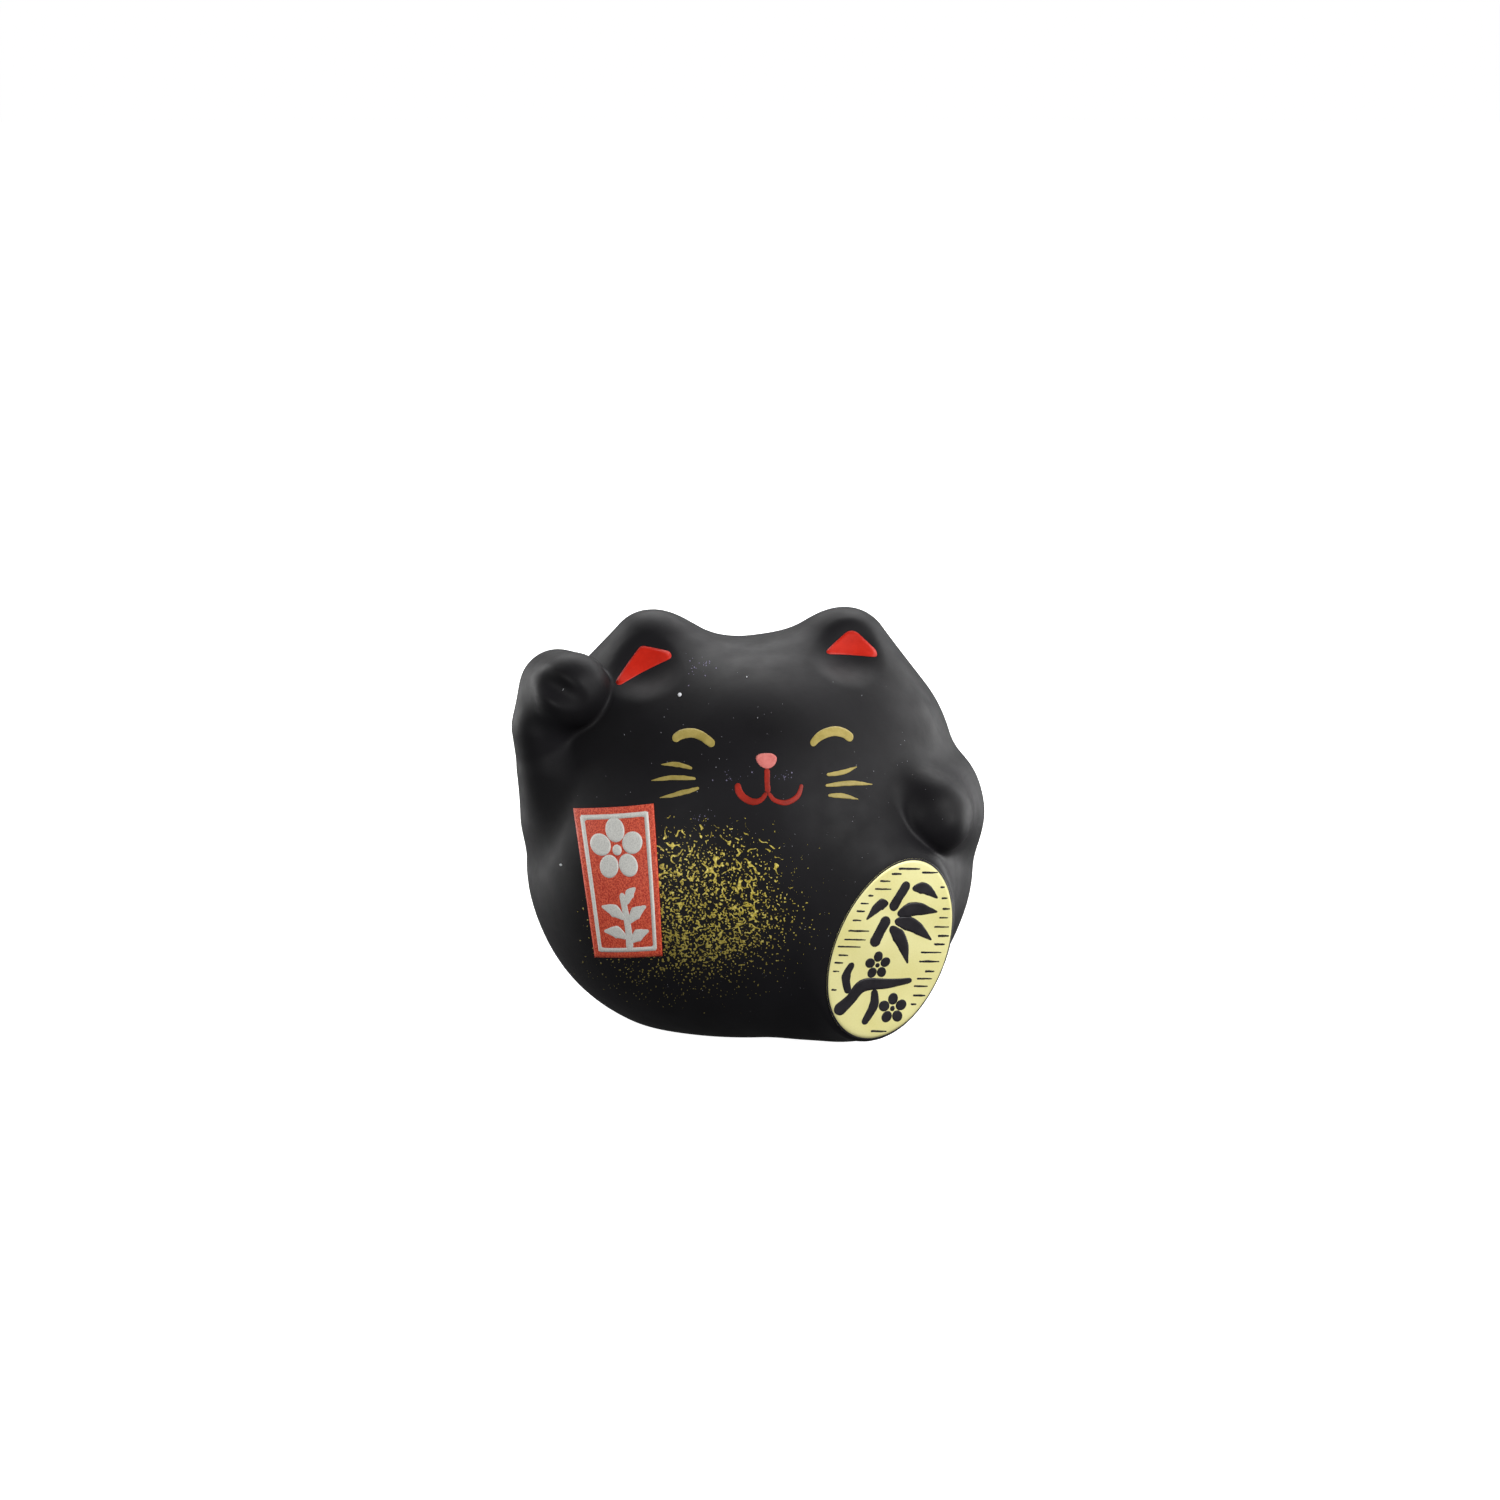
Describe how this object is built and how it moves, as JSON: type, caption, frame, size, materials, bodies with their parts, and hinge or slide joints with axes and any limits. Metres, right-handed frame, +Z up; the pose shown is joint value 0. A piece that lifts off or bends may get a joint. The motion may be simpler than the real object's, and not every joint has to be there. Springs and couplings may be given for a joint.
{
  "type": "beckoning cat bell figurine",
  "caption": "Squat round black pottery cat with one raised paw, a hollow bell body with a slot in its base, a loose pellet, a red paper label and a gold foil oval.",
  "frame": {"origin": "centre of the bounding box at the base, on the surface that the cat stands on", "axes": "+Z up, the cat faces -Y, its raised arm is on -X and its oval plaque on +X"},
  "size_m": [0.0629, 0.0533, 0.0553],
  "materials": {
    "black_painted_clay": "matt black cold paint over unglazed clay",
    "bare_clay": "unglazed",
    "red_paper": "printed, matt",
    "gold_foil": "pale gold foil on paper"
  },
  "bodies": {
    "body": {"front_shell": "black_painted_clay", "back_shell": "black_painted_clay", "fortune_label": "red_paper", "koban_label": "gold_foil"},
    "pellet": {"clay_pellet": "bare_clay"}
  },
  "joints": [
    {"name": "pellet_roll", "type": "hinge", "parent": "body", "child": "pellet", "pos_m": [0.0006, 0, 0.0368], "axis": [0, 1, 0], "range_deg": [-28, 28]}
  ]
}
